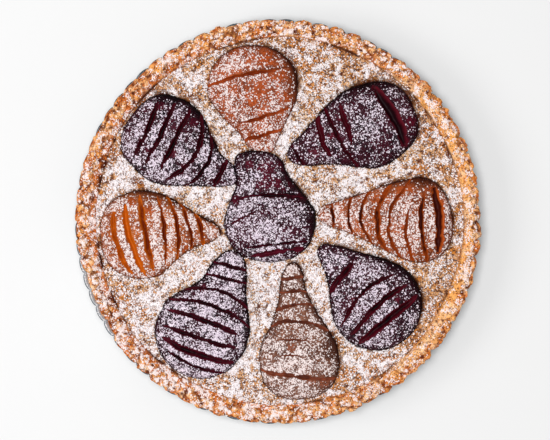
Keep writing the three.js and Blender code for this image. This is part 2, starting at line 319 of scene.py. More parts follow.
def tinMaterial():
    graph = Graph("slateCoating", 0.4)
    cloud = graph.noise(9, 3.0)
    fleck = graph.noise(0.8, 1.0)
    colour = graph.blend((38.7, 48.3, 56.4), (63.3, 73.9, 82.1), cloud.step(0.35, 0.65))
    worn = graph.mark("lip") * graph.noise(5, 3.0, 0.7, 4.0).step(0.5, 0.62)
    colour = graph.blend(colour, (111.4, 117.8, 123.5), worn * 0.6)
    # pale: worn, sugar-dusted metal on the lip top and inside wall, partly a painted reflection of the bright
    # room
    colour = graph.blend(colour, (196, 200, 206), graph.mark("pale"))
    dust = graph.specks(sugarLook["speckSize"], graph.mark("pale") * 0.5, 0.4)
    colour = graph.blend(colour, sugarLook["plain"][0], dust)
    return graph.finish(colour, 0.36 + fleck * 0.16 + dust * 0.3, fleck + dust, 0.05)


def makeTin():
    count = tin["fluteCount"] * tin["pointsPerFlute"]
    turns = np.arange(count) / count
    inset = fluteInset(turns, tin["fluteDepth"])
    top = tin["height"]

    def wall(*ends):  # a row for each step between two places, each with a radius and a height
        shares = np.linspace(0, 1, tin["wallRows"])[:, None]
        return [(*row, 1) for row in mixed(*np.array(ends), shares)]

    profile = [
        (40, 0, 0), (90, 0, 0), (124, 0, 0), (tin["baseRadius"] - 0.5, 0, 1),
        *wall((tin["baseRadius"], 0.5), (tin["neckRadius"], top - tin["neckDrop"])),
        (tin["lipRadius"] - 0.25, top - 1.0, 1),
        (tin["lipRadius"], top - tin["lipDrop"], 1),
        (tin["lipRadius"] - 0.05, top - 0.3, 1),
        (tin["lipRadius"] - tin["lipDrop"] / 2, top, 1),
        (tin["mouthRadius"] + 0.3, top, 1),
        *wall((tin["mouthRadius"], top - 0.3), (tin["floorRadius"], tin["floorHeight"])),
    ]
    rings = [ringAt(turns, radius - fluted * inset, height) for radius, height, fluted in profile]
    points, faces = ringsSolid(rings, [0, 0, 0], [0, 0, tin["floorHeight"]])
    lip = ramp(top - 1.2, top - 0.5, points[:, 2])
    turn = (np.arctan2(points[:, 1], points[:, 0]) / fullTurn) % 1
    inward = tin["lipRadius"] - fluteInset(turn, tin["fluteDepth"]) - np.hypot(*points[:, :2].T)
    # pale marks the lip top and upper inside wall, where a painted reflection lies with the wear and dust
    pale = ramp(0.75, 1.05, inward) * ramp(top - 16, top - 8, points[:, 2])
    pale = pale * (points[:, 2] > 1) * np.exp(-(((turn - tin["wornDustAndSheenTurn"]) / tin["wornDustAndSheenSpread"]) ** 4))
    piece = makePiece("fluted_tin", points, faces, tinMaterial(), {"lip": lip, "pale": pale})
    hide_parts("tin")


# Crust
crust = {
    "underside": 1.1,
    "floorHeight": 5.1,
    "floorRadius": 126.2,
    "floorWave": 0.4,
    "innerRadius": 127,
    "innerHeight": 29.3,
    "neckHeight": 30.6,
    "edgeHeight": 31.5,
    "tinClearance": 0.45,
    "shrinkage": 2.2,
    "shrinkageTurn": 200 / 360,
    "shrinkageSpread": 0.06,
    "rimRows": [(1.8, 33.1, 0.6), (5, 34.2, 1), (8.6, 32.6, 0.8)],  # how far in, height, size of its lumps
    # angle, how far out the knobs reach, how deep the valleys between them are, and how worn the edge is
    "edge": [(0, 140.9, 2.6, 0.6), (30, 140.8, 2.8, 0.6), (60, 140, 2.6, 0.6), (85, 139.9, 2.4, 1),
             (110, 140, 2.3, 0.9), (120, 139.6, 1.8, 0.5), (145, 139.6, 1.7, 0.4), (155, 140, 1.5, 0.4),
             (186, 140, 1.4, 0.3), (189, 139.4, 1.8, 0.5), (193, 137.5, 2.2, 0.5), (212, 137.3, 2.2, 0.5),
             (217, 139.8, 1.9, 0.8), (232, 140, 1.9, 0.8), (245, 139.8, 1.9, 1), (300, 139.9, 2, 0.9),
             (308, 140.6, 2.6, 0.5), (345, 141, 2.7, 0.5), (360, 140.9, 2.6, 0.6)],
    "points": 1440,
    "stepsPerRow": 8,
    "knobSpread": 0.4,
    "reach": 139.84,  # to the back, front and left
    # where the sugar is thicker or thinner: angle, width and by how much
    "drifts": [(218, 28, 0.55), (5, 14, -0.3), (45, 26, 0.5), (82, 16, 0.45), (130, 20, -0.15),
               (315, 34, -0.35)],
    "grooveDepth": 1.5,
    "grooveLean": 0.9 / 360,  # they run in aslant
    "ridgeRadius": 138.3,
    "crumbs": [(6, 0.6), (2.9, 0.4), (1.5, 0.28)],  # size and depth of each layer of roughness
    "blobSize": 4,
    "blobDepth": 1.1,
    # where the filling has come away from the crust: angle, spread and how far
    "seams": [(22, 4, 0.6), (40, 9, 0.6), (54, 4, 0.5), (70, 9, 0.7), (102, 9, 0.6), (136, 6, 0.8),
              (160, 11, 1), (192, 6, 0.9), (206, 3, 0.8), (214, 4, 0.6), (232, 8, 0.8), (282, 4, 0.6),
              (305, 4, 0.6), (337, 4, 0.5)],
}


def drawnBack(turns):
    return crust["shrinkage"] * np.exp(-(((turns - crust["shrinkageTurn"]) / crust["shrinkageSpread"]) ** 2))


def knobShape(turns):  # 1 on a knob of the edge, 0 in the valley between two
    return 1 - fluteInset(turns, 1)


def crustEdge(turns):  # how far out the knobs reach here, how deep the valleys are, and how worn the edge is
    angles, *values = zip(*crust["edge"])
    return [np.interp(turns * 360, angles, value) for value in values]


def seamAt(turns):  # how far the seam between crust and filling gapes
    broken = ramp(-0.6, 0.1, roughNoise(ringAt(turns, 127, 0), 5, 125))
    gaping = [size * np.exp(-(((turns * 360 - at) / spread) ** 4)) for at, spread, size in crust["seams"]]
    return broken * np.max(gaping, axis=0)


def lump(turns, row):
    angle = fullTurn * turns
    return (0.45 * np.sin(11 * angle + 1.7 * row) + 0.4 * np.sin(23 * angle + 2.9 * row)
            + 0.35 * np.sin(37 * angle + 0.8 * row))


def crustInsideRadius(height, turns):
    angle = fullTurn * turns
    wave = 1.4 * np.cos(angle - 0.17) + 0.4 * np.sin(5 * angle + 1) + 0.3 * np.sin(8 * angle + 2)
    up = (height - crust["floorHeight"]) / (crust["innerHeight"] - crust["floorHeight"])
    return mixed(crust["floorRadius"], crust["innerRadius"], up) + mixed(crust["floorWave"], 1, up) * wave


def tinInsideRadius(height):
    up = (height - tin["floorHeight"]) / (tin["height"] - tin["floorHeight"])
    return mixed(tin["floorRadius"], tin["mouthRadius"], up)


def smoothRows(rows, steps):  # more rows between those given, on a smooth curve through them
    made = []
    for k in range(1, len(rows) - 2):
        a, b, c, d = rows[k - 1:k + 3]
        for share in np.arange(steps) / steps:
            made.append(b + 0.5 * share * (
                c - a + share * (2 * a - 5 * b + 4 * c - d + share * (3 * b - a - 3 * c + d))))
    return made + [rows[-2]]


def crustMaterial():
    graph = Graph("bakedCrust", 0.2)
    patch = graph.noise(9, 3.0, 0.6)
    crumb = graph.noise(2.4, 3.0, 0.7, 2.0)
    fine = graph.noise(0.7, 2.0, 0.6, 6.0)
    pale = graph.blend((254, 204, 152), (248, 176, 98), patch.step(0.4, 0.6))
    # toasting, with painted shade on the left side and painted light on the smooth inner wall at the right
    toastAndShade = (crumb.step(0.46, 0.6) * 0.6 + graph.mark("toastAndShade")).clipped()
    toasted = graph.blend(pale, (212, 112, 40), toastAndShade)
    # painted shade in hollows, chips, the open seam by the filling and along the foot by the tin
    deep = graph.blend(toasted, (92, 34, 10), (graph.mark("hollowShade") * (crumb + 0.5)).clipped())
    # pits: specks of painted shade in small pits, sunk by the bump
    pits = graph.specks(1.3, crumb.step(0.3, 0.7) * 0.26, 0.57)
    deep = graph.blend(deep, (78, 32, 14), pits * 0.85)
    colour, cover = dusted(graph, deep, graph.mark("sugar"), "pastry")
    crumbs = graph.specks(1.1, graph.noise(4, 2.0, 0.6, 9.0).step(0.3, 0.7) * 0.34, 0.91)
    colour = graph.blend(colour, (126, 62, 38), crumbs * 0.75)
    height = crumb * 0.6 + fine * 0.4 + cover * 0.5 - pits * 0.5 - crumbs * 0.3
    return graph.finish(colour, 0.8 + cover * 0.1, height, 0.6)


def makeCrust():
    count = crust["points"]
    turns = np.arange(count) / count
    drawn = drawnBack(turns)
    inset = fluteInset(turns, tin["fluteDepth"])
    drawer = np.random.default_rng(5)
    crest = knobShape(turns)
    knobs = drawer.normal(0, crust["knobSpread"], tin["fluteCount"])
    knob = knobs[(turns * tin["fluteCount"]).astype(int)] * crest

    def wall(height, share):
        radius = tinInsideRadius(height) - crust["tinClearance"] - share * drawn - inset
        return ringAt(turns, radius, height)

    neck = np.stack([tinInsideRadius(tin["height"]) - crust["tinClearance"] - drawn - inset,
                     np.full(count, crust["neckHeight"])], axis=-1)
    below = neck - [0, 3]
    groove = crust["grooveDepth"] * (1 - crest)
    reach, valley, wear = crustEdge(turns)
    worn = wear * ramp(-0.1, 0.5, roughNoise(ringAt(turns, 140, 0), 5, 133))
    edge = np.stack([reach - valley * (1 - crest) - worn + np.minimum(knob, 0.2),
                     crust["edgeHeight"] + 0.3 * lump(turns, 3) - 0.2 * groove + 0.5 * knob], axis=-1)
    edge[:, 0] = np.maximum(edge[:, 0], neck[:, 0] + 0.4)
    rows = [below, neck, edge]
    for k, (inward, height, lumpSize) in enumerate(crust["rimRows"]):
        share = k / len(crust["rimRows"])
        slanted = (turns + crust["grooveLean"] * (k + 1)) % 1
        reach, valley, _ = crustEdge(slanted)
        deep = crust["grooveDepth"] * (1 - knobShape(slanted)) * (1, 0.75, 0.2)[k]
        slope = reach - valley * (1 - knobShape(slanted)) * (1 - share) ** 2
        radius = mixed(slope, crust["ridgeRadius"], share) - inward + 0.4 * lump(turns, k + 5)
        rows.append(np.stack([radius + 0.3 * (1 - share) * knob,
                              height + lumpSize * lump(turns, k) - deep + (1 - share) * knob], axis=-1))
    for height in (crust["innerHeight"], 24):
        rows.append(np.stack([crustInsideRadius(height, turns), np.full(count, height)], axis=-1))
    curve = smoothRows(rows, crust["stepsPerRow"])
    grid = np.array([ringAt(turns, row[:, 0], row[:, 1]) for row in curve])
    flat = grid.reshape(-1, 3)
    level = np.repeat(np.arange(len(curve)) / (len(curve) - 1), count)  # 0 at the tin, 1 at the filling
    loose = ramp(0.1, 0.26, level) * (1 - ramp(0.88, 1.0, level))
    relief = layered(flat, crust["crumbs"], 3, 1, 2)
    chips, chipOwn = nearestSpot(flat, 5, 9)
    chip = np.where(chipOwn > 0.4, 1 - ramp(0.4, 1.9, chips), 0)
    blobs, blobOwn = nearestSpot(flat, crust["blobSize"], 45)
    turnAll = np.tile(turns, len(curve))
    toRight = np.cos(fullTurn * turnAll)
    smooth = ramp(0.5, 0.75, level) * ramp(0.5, 0.95, toRight)  # by the filling at the right
    gap = ramp(1.5, 2.6, blobs) * (1 - smooth)
    relief = (relief * (1 - 0.7 * smooth) - 0.8 * chip - crust["blobDepth"] * (gap - 0.4)) * loose
    grid = grid + ringNormals(grid) * relief.reshape(grid.shape[0], count, 1)
    reach = crust["reach"]
    grid[..., 1] = np.clip(grid[..., 1], -reach, reach)
    grid[..., 0] = np.maximum(grid[..., 0], -reach)
    inner = [ringAt(turns, crustInsideRadius(height, turns), height) for height in (12, crust["floorHeight"])]
    outer = [wall(height, share) for height, share in ((crust["underside"], 0), (12, 0.4), (23, 0.8))]
    rings = [*outer, *grid, *inner]
    points, faces = ringsSolid(rings, [0, 0, crust["underside"]], [0, 0, crust["floorHeight"]])
    left = 0.5 - 0.5 * toRight
    patches = roughNoise(flat, 12, 21)
    knobTop = (1 - ramp(0.3, 0.55, level)) * ramp(0.15, 0.3, level) * knobShape(turnAll) ** 2
    seam = seamAt(turnAll) * ramp(0.86, 0.98, level)
    # toasting in patches, on knob tops, on blobs and between them, with painted shade on the left, deepest on
    # its inner slope, and painted light (less brown) on the smooth inner wall at the right
    toastAndShade = (0.1 * left + 0.3 * patches + 0.4 * knobTop + 0.5 * ramp(0.5, 0.9, blobOwn) + 0.4 * gap
             + 0.6 * ramp(0.7, 0.9, level) * left - 0.6 * smooth - 0.2)
    # painted shade mark: low places and chips, the open seam, and the foot of the crust by the tin
    low = ramp(0.2, 1.1, -relief)
    hollowShade = 0.8 * low + chip * 0.8 + 1.2 * seam + 0.5 * (1 - ramp(0.12, 0.26, level))
    bare = ramp(-0.2, 0.45, roughNoise(flat, 3.2, 33))
    sugar = (0.06 + 0.74 * bare) * ramp(0.2, 0.36, level) * (1 - 0.5 * knobTop) * sugarFall(flat)
    drift = sum(more * np.exp(-(((turnAll * 360 - at) / wide) ** 2)) for at, wide, more in crust["drifts"])
    sugar = sugar * (0.7 + drift) * (1 - 0.6 * low) * (1 - 0.5 * smooth) * (1 - np.clip(seam, 0, 1))
    before = len(outer) * count
    around = (before, len(points) - before - len(flat))
    marks = {"toastAndShade": toastAndShade, "hollowShade": hollowShade, "sugar": sugar}
    marks = {key: np.pad(np.clip(values, 0, 1), around) for key, values in marks.items()}
    piece = makePiece("baked_crust", points, faces, crustMaterial(), marks)
    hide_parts("crust")
    return piece


darkSide = np.array([0.62, 0.78])  # what faces this way lies in shade, bare of sugar


def sugarFall(points):  # the sugar lies thickest at the front left
    toFrontLeft = (-0.55 * points[:, 0] - 0.83 * points[:, 1]) / 140
    return 1 + 0.26 * toFrontLeft


# Pears, laid flat side down. place is the middle of the wide end and the way the neck points, half is the
# half width, blossom and neck are how far off the two ends are, and bend moves the neck sideways.
# shoulders are how far the left and right flank take to narrow to neckHalf, and blunt and tip make the
# two ends blunter. Each slit: where it crosses the spine, slant, bow, width, and where it starts and
# stops across the pear, from -1 to 1. glow is how bright each slit is inside, lean the side to which its
# deepest line lies, and bridged how much narrower the slits are in places. bare lists spots without
# sugar: how far along, how far across, radius.
# Each pear's cut colour is its flesh, and its second cut colour is the same flesh in painted shade at the
# bottom of the cuts; glow lifts that painted shade.
pears = [
    {
        "name": "pear_back", "skin": "amber", "sugar": 0.36, "cut": (186, 84, 32), "cutInShade": (112, 38, 12),
        "place": (-17, 92, -89), "half": 31.5, "blossom": 30, "neck": 45, "neckHalf": 10,
        "shoulders": (46, 44), "bend": 7.5, "blunt": 2.1, "tip": 14,
        "bare": [(-19, 9, 5.5), (-25, -12, 4), (-8, 20, 4), (1, 5, 5), (10, -2, 3), (7, 24, 3.5)],
        "slits": [(-10, -11, -2, 2, -1, 0.6), (21.5, -14, 2, 1.8, -0.6, 0.9), (33, -15, 0, 2, -1, 1)],
    },
    {
        "name": "pear_back_right", "skin": "red", "sugar": 0.26, "cut": (84, 12, 26), "cutInShade": (26, 4, 9),
        "place": (61, 65, -156), "half": 29, "blossom": 36, "neck": 58, "neckHalf": 15,
        "shoulders": (39, 52), "bend": -3.5, "blunt": 2.5, "tip": 3,
        "bare": [(12, -13, 4), (30, -10, 3.5), (25, -3, 3.5), (39, 3, 3), (-30, 9, 3.5), (-20, 21, 4)],
        "lean": [0.45, 0, 0, 0, 0], "glow": [0.1, 0.8, 0.5, 0.8, 0.4],
        "slits": [(-20.5, -5, -3, 6.6, -0.9, 0.9), (13, 7, 0, 3.4, -0.8, 0.3), (21, -5, 4, 2, -1, 1),
                  (31, 0, 6, 3.4, -1, 0.6), (51, -10, 0, 2, -1, 1)],
    },
    {
        "name": "pear_right", "skin": "amber", "sugar": 0.36, "cut": (176, 76, 22), "cutInShade": (62, 14, 5),
        "light": (182, 94, 50), "dark": (96, 42, 22), "glow": [-0.3, 0.2, 0.7, 0.6, 0.5, 0.4, 0.2, 0.2],
        "place": (99, 1, -172), "half": 29, "blossom": 22, "neck": 70.5, "neckHalf": 8,
        "shoulders": (59, 80), "bend": -14, "blunt": 2.3, "tip": 12,
        "bare": [(11, -22, 3.5), (4, -23, 3.5), (-8, -20, 3), (14, 3, 2), (-15, -10, 3), (29, -16, 3)],
        "lean": [0.65, 0, 0, 0, 0, 0, 0, 0],
        "slits": [(-12.5, 4, -3, 6.2, -0.85, 0.9), (0, 8, 5, 2.8, -0.7, 1), (11, 13, 10, 2, -0.3, 1),
                  (22.5, 11, 14, 2, -1, 1), (30.5, 5, 13, 3, -1, 1), (41, -2, 18, 2, -1, 1),
                  (49, -1, 13, 2, -1, 1), (60, 3, 0, 2, -1, 1)],
    },
    {
        "name": "pear_front_right", "skin": "red", "sugar": 0.32, "cut": (88, 14, 28), "cutInShade": (16, 3, 6),
        "place": (68, -57, 125), "half": 31.5, "blossom": 32, "neck": 54.5, "neckHalf": 12.5,
        "shoulders": (45, 51), "bend": 8.5, "blunt": 2.1, "tip": 4,
        "bare": [(12, 12, 3.5), (-15, 10, 3.5), (-6, -14, 3)],
        "slits": [(-13.5, -5, 0, 4.5, -0.9, 0.9), (-1, -7, 5, 3.5, -0.8, 0.85),
                  (12.5, -5, 11, 2.5, -0.7, 0.9), (31, -18, -2, 3, -0.5, 1)],
    },
    {
        "name": "pear_front", "skin": "amber", "sugar": 0.37, "cut": (146, 76, 52), "cutInShade": (84, 42, 32),
        "light": (140, 92, 72), "dark": (84, 50, 40), "bareSkin": (146, 82, 58), "bridged": 0.5,
        "place": (15, -97, 98), "half": 28, "blossom": 26, "neck": 68, "neckHalf": 9.5,
        "shoulders": (50, 56), "bend": -4, "blunt": 2.3, "tip": 7,
        "bare": [(-16, -16, 5), (-14, -7, 3.5), (10, 4, 3)],
        "slits": [(-10.5, 14, -2, 3, -1, 1), (5, 11.6, 2.6, 1, -0.1, 0.5), (15.5, 10, 5.7, 1, -0.3, 0.5),
                  (28.5, 8, 9.5, 2, -1, 1), (39.5, -1, 10, 2, -1, 1), (48.5, 5, 0, 1.6, -1, 1),
                  (58, 4, 0, 2, -1, 1)],
    },
    {
        "name": "pear_front_left", "skin": "red", "sugar": 0.52, "cut": (88, 18, 34), "cutInShade": (20, 4, 8),
        "place": (-51, -74, 63), "half": 32.5, "blossom": 35, "neck": 57.5, "neckHalf": 15.5,
        "shoulders": (35, 45), "bend": 3.5, "blunt": 2.1, "tip": 5,
        "bare": [(-19, 12, 3.5), (-15, -5, 3), (24, 11, 3)],
        "slits": [(-26, -1, -7, 1.8, -1, 0.6), (-18, -6, -4.5, 4, -0.95, 0.8),
                  (-7, -9, -1.5, 2.5, -0.85, 0.85), (6, -7, 3, 3, -0.75, 0.9), (17.5, -7, 8, 2, -1, 1),
                  (28.5, -9, 13, 2, -1, 1), (38, -12, 0, 1.8, -1, 1), (47, -10, 0, 1.8, -1, 1)],
    },
    {
        "name": "pear_left", "skin": "amber", "sugar": 0.37, "cut": (198, 96, 14), "cutInShade": (112, 34, 8),
        "light": (196, 108, 58), "dark": (124, 56, 28), "glow": [0.75, 1.1, 0.4, 0.2, 0.1, 0.1, 0.1],
        "place": (-92, -9, 5), "half": 30.5, "blossom": 30.5, "neck": 52.5, "neckHalf": 12,
        "shoulders": (51, 39), "bend": -3, "blunt": 2.4, "tip": 3,
        "bare": [(-7, 23, 3), (6, 17, 3.5), (13, 21, 3), (28, -12, 3)],
        "slits": [(-20, -6, -8, 3.6, -0.9, 0.65), (-10, -9, -4, 4.2, -0.95, 0.75),
                  (1.5, -5, 0, 4, -0.85, 0.9), (14.5, -1, 4, 2, -0.8, 0.9), (23.5, -2, 7, 2.5, -1, 1),
                  (32, -6, 10, 2, -1, 1), (39.5, -8, 10, 3, -1, 1)],
    },
    {
        "name": "pear_back_left", "skin": "red", "sugar": 0.4, "cut": (80, 12, 26), "cutInShade": (10, 2, 4),
        "place": (-74.4, 54.5, -38), "half": 30, "blossom": 32.5, "neck": 54, "neckHalf": 11,
        "shoulders": (40, 52), "bend": 8.5, "blunt": 2.6, "tip": 6,
        "bare": [(4, 22, 3.5), (7, -5, 3), (18, -8, 3), (-21, 16, 3), (-8, -14, 2)],
        "slits": [(-18, -15, 3, 3, -0.8, 0.75), (-8, -12, 0, 3, -0.75, 0.85), (3, -11, 1, 3, -0.7, 0.9),
                  (19.5, -4, 13, 3, -0.8, 1), (30, -9, 15, 2, -1, 1), (40.5, -13, 0, 3, -1, 1)],
    },
    {
        "name": "pear_centre", "skin": "red", "sugar": 0.39, "cut": (92, 18, 36), "cutInShade": (22, 5, 11),
        "place": (-5, 0, 91), "half": 31.5, "blossom": 28, "neck": 49, "neckHalf": 18,
        "shoulders": (35, 37.5), "bend": 11, "blunt": 2.3, "tip": 12,
        "bare": [(36, -4, 7), (25, 2, 6), (27, -8, 6), (38, -17, 5), (28, -20, 5), (18, -25, 5), (15, 21, 4),
                 (-21, -21, 4.5), (40, 6, 4)],
        "bridged": 0.9, "glow": [0.9, 0.3, 0.8, 0.4],
        "slits": [(-21.5, -7, 1.5, 3.2, -1, 0.8), (-16, -6, 1.5, 1.2, -0.9, 0.8), (10, -16, 4, 1.5, 0.3, 1),
                  (18.5, -1, 5.5, 2, -1, 1)],
    },
]
pearForm = {
    "seat": 14,
    "flank": 27,
    "rise": 11.2,
    "roundness": 2.2,
    "slitDepth": 4.5,
    "depthAtFlank": 0.4,
    "fullWidth": 1.6,  # a narrower cut is shallower
    "wall": 0.3,
    "opened": (1.12, 0.15),  # the cuts have spread a little in baking
    "jagged": (3, 0.16),
    "pointsAcross": 82,
    "spacing": 0.8,
    "endLines": 26,
    "margin": 1.2,  # lines beside a cut that keep its slant and bow
    "bulge": 0.4,
    "tilt": 0.35,
    "wrinkles": [(7, 0.3), (2.4, 0.16)],
    "growth": 0.4,
    "joint": 0.12,
    "uneven": [(9, 0.8), (3.4, 0.4)],  # size and depth of the waves in the outlines
}
skins = {
    # edge is the painted shade colour of the steep flanks and of the pits
    "red": {"slot": "pear_red", "light": (70, 16, 32), "dark": (16, 4, 9), "edge": (9, 3, 6),
            "bareSkin": (92, 16, 36), "shade": 0.5},
    "amber": {"slot": "pear_amber", "light": (182, 88, 46), "dark": (98, 42, 24), "edge": (52, 20, 12),
              "bareSkin": (184, 82, 34), "shade": 0.2},
}


def uneven(points):  # moves pears and filling alike, so that the outlines that they share are a little wavy
    flat = np.column_stack([points[:, :2], np.zeros(len(points))])
    fade = 1 - ramp(110, 122, np.hypot(*points[:, :2].T))
    moved = points.copy()
    for axis in (0, 1):
        moved[:, axis] += fade * layered(flat, pearForm["uneven"], 130 + axis, 2, 1)
    return moved


def pearHalfWidth(pear, along, side):
    share = np.clip(-along / pear["blossom"], 0, 1)
    wide = pear["half"] * (1 - share ** pear["blunt"]) ** (1 / pear["blunt"])
    shoulder = np.where(side > 0, *pear["shoulders"])
    narrowed = 0.5 + 0.5 * np.cos(np.pi * np.clip(along / shoulder, 0, 1))
    end = np.sqrt(1 - np.clip(along / pear["neck"], 0, 1) ** pear["tip"])
    return np.where(along <= 0, wide, mixed(pear["neckHalf"], pear["half"], narrowed) * end)


def pearPlace(pear, along, across):
    x, y, turn = pear["place"]
    angle = math.radians(turn)
    sideways = across + pear["bend"] * (np.maximum(along, 0) / pear["neck"]) ** 2
    return np.stack([x + along * math.cos(angle) - sideways * math.sin(angle),
                     y + along * math.sin(angle) + sideways * math.cos(angle)], axis=-1)


def pearDome(pear, along, across):
    width = np.maximum(pearHalfWidth(pear, along, across), 1e-6)
    rise = pearForm["rise"] * (width / pear["half"]) ** 0.8
    share = np.clip(np.abs(across) / width, 0, 1)
    return pearForm["flank"] + rise * (1 - share ** pearForm["roundness"]) ** (1 / pearForm["roundness"])


def alongAt(pear, lines, across):  # a line across the pear has its place, slant and bow
    at, slant, bow = (lines[:, k, None] for k in range(3))
    return at + across * np.tan(np.radians(slant)) - bow * (across / pear["half"]) ** 2


def flankAt(pear, lines, side):  # how far out along each line the flank is
    inside = np.zeros((len(lines), 1))
    outside = np.full((len(lines), 1), pear["half"] * 1.1)
    for _ in range(40):
        middle = (inside + outside) / 2
        within = pearHalfWidth(pear, alongAt(pear, lines, side * middle), side) > middle
        inside = np.where(within, middle, inside)
        outside = np.where(within, outside, middle)
    return side * inside


def cutHalf(width):
    times, more = pearForm["opened"]
    return width / 2 * times + more


def pearLines(pear):
    slits = pear["slits"]
    lines = []

    def toEnd(end, line):
        rest = 1 - np.cos(np.linspace(0, np.pi / 2, pearForm["endLines"] + 1))[1:]
        return [(mixed(end, line[0], share), line[1] * share, line[2] * share) for share in rest[:-1]]

    def beside(slit):
        at, slant, bow, width = slit[:4]
        half = cutHalf(width)
        offsets = [share * half for share in (0.35, 0.7, 0.9, 1.0)]
        offsets += [half + 0.3, half + 0.65, half + pearForm["margin"]]
        return [(at + offset, slant, bow) for offset in [-o for o in offsets[::-1]] + [0] + offsets]

    for k, slit in enumerate(slits):
        own = beside(slit)
        if k == 0:
            lines += toEnd(-pear["blossom"], own[0])
        else:
            last = lines[-1]
            parts = max(round((own[0][0] - last[0]) / pearForm["spacing"]), 1)
            for i in range(1, parts):
                lines.append(tuple(mixed(a, b, i / parts) for a, b in zip(last, own[0])))
        lines += own
    lines += toEnd(pear["neck"], lines[-1])[::-1]
    return np.array(lines)


def pearOutline(pear, lines):  # anticlockwise from the neck
    flanks = []
    for side in (1, -1):
        across = flankAt(pear, lines, side)
        flanks.append(pearPlace(pear, alongAt(pear, lines, across), across)[:, 0])
    neck = pearPlace(pear, np.array([pear["neck"]]), np.zeros(1))
    blossom = pearPlace(pear, np.array([-pear["blossom"]]), np.zeros(1))
    whole = np.concatenate([neck, flanks[0][::-1], blossom, flanks[1]])
    step = np.linalg.norm(whole - np.roll(whole, 1, axis=0), axis=1)
    return whole[step > 0.05]


def grownOutline(outline, growth):
    run = np.roll(outline, -1, axis=0) - np.roll(outline, 1, axis=0)
    outward = np.stack([run[:, 1], -run[:, 0]], axis=-1)
    return outline + growth * outward / np.linalg.norm(outward, axis=1, keepdims=True)


def slitDepths(pear, along, across, shares, jag, bridged):  # depth and inside of the cuts, how bright
    depth = np.zeros_like(along)
    inside = np.zeros_like(depth)
    bright = np.zeros_like(depth)
    glow = pear.get("glow", [0.5] * len(pear["slits"]))
    lean = pear.get("lean", [0] * len(pear["slits"]))
    for (at, slant, bow, width, start, stop), own, deepest in zip(pear["slits"], glow, lean):
        line = at + across * math.tan(math.radians(slant)) - bow * (across / pear["half"]) ** 2
        off = np.abs(along - line)
        taper = np.sqrt(1 - 0.8 * shares**6)
        if start > -1:
            taper = np.minimum(taper, np.sqrt(np.clip((shares - start) / 0.35, 0, 1)))
        if stop < 1:
            taper = np.minimum(taper, np.sqrt(np.clip((stop - shares) / 0.35, 0, 1)))
        half = cutHalf(width) * taper[None, :] * (1 - 0.8 * bridged) + jag * min(1, width / 3)
        reach = (off <= cutHalf(width) + 0.6) * ramp(0, 0.25, taper)[None, :] * (1 - 0.6 * bridged)
        beyond = along - line - deepest * half  # the deepest line of a cut may lie to one side
        fromDeepest = np.abs(beyond) / np.where(beyond > 0, 1 - deepest, 1 + deepest)
        opened = (1 - ramp(0.1 * half, half + 0.2, fromDeepest)) * (1 - ramp(half, half + 0.2, off)) * reach
        deep = pearForm["slitDepth"] * min(1, width / pearForm["fullWidth"])
        depth = np.maximum(depth, opened * deep * mixed(1, pearForm["depthAtFlank"], shares**2)[None, :])
        within = (1 - ramp(half - pearForm["wall"], half + 0.15, off)) * reach
        bright = np.where(within > inside, own, bright)
        inside = np.maximum(inside, within)
    return depth, inside, bright


def slices(pear, lines):  # the slice each line is in, and where in it from 0 to 1
    cuts = [-pear["blossom"], *[slit[0] for slit in pear["slits"]], pear["neck"]]
    number = np.clip(np.searchsorted(cuts, lines[:, 0]) - 1, 0, len(cuts) - 2)
    low = np.array(cuts)[number]
    high = np.array(cuts)[number + 1]
    return number, (lines[:, 0] - low) / (high - low)


def endSlice(pear, lines):  # 1 on the lines beyond the outermost cuts
    return ((lines[:, 0] < pear["slits"][0][0]) | (lines[:, 0] > pear["slits"][-1][0]))[:, None]


def welded(points, faces, marks):  # points at one place made one, and faces without area dropped
    _, first, same = np.unique(np.round(points, 3), axis=0, return_index=True, return_inverse=True)
    same = same.ravel()
    kept = []
    for face in faces:
        a, b, c, d = same[face]
        if a == c or b == d:
            continue
        corners = []
        for corner in (a, b, c, d):
            if corner not in corners:
                corners.append(int(corner))
        if len(corners) > 2:
            kept.append(corners)
    return points[first], kept, {key: values[first] for key, values in marks.items()}


def pearMaterial(pear):
    skin = {**skins[pear["skin"]], **pear}  # a pear may have its own colours
    graph = Graph(f"{pear['name']}Skin", 0.06)
    cloud = graph.noise(10, 3.0, 0.6)
    mottle = graph.noise(2.2, 3.0, 0.7, 2.0)
    tone = cloud.step(0.36, 0.64) * 0.5 + mottle.step(0.35, 0.65) * 0.6 + graph.mark("slice") * 0.3 - 0.2
    tone = tone.clipped()
    base = graph.blend(skin["dark"], skin["light"], tone)
    base = graph.blend(base, skin["bareSkin"], graph.mark("bare") * mottle.step(0.3, 0.6) * 0.9)
    # painted shade on the steep flanks, darkest on the side turned to darkSide
    base = graph.blend(base, skin["edge"], graph.mark("edge"))
    # pits: specks of painted shade in small pits, sunk by the bump
    pits = graph.specks(1.0, mottle.step(0.3, 0.7) * 0.25, 0.57)
    base = graph.blend(base, skin["edge"], pits * 0.6)
    inside = graph.mark("cut")
    # the flesh darkens toward the bottom of each cut: painted shade of its depth, lifted by glow
    deep = graph.mark("deep") * 1.7 + graph.noise(2.6, 3.0, 0.6, 7.0) * 1.4 - 0.95
    flesh = graph.blend(pear["cut"], pear["cutInShade"], deep.clipped())
    base = graph.blend(base, flesh, inside.step(0.15, 0.5))
    density = graph.mark("sugar") * (1 - inside.step(0.1, 0.4))
    colour, cover = dusted(graph, base, density, pear["skin"])
    gloss = inside.step(0.2, 0.7)
    height = mottle * 0.5 + cover * 0.6 - pits * 0.4
    return graph.finish(colour, 0.6 - gloss * 0.15 + cover * 0.25, height, 0.45)


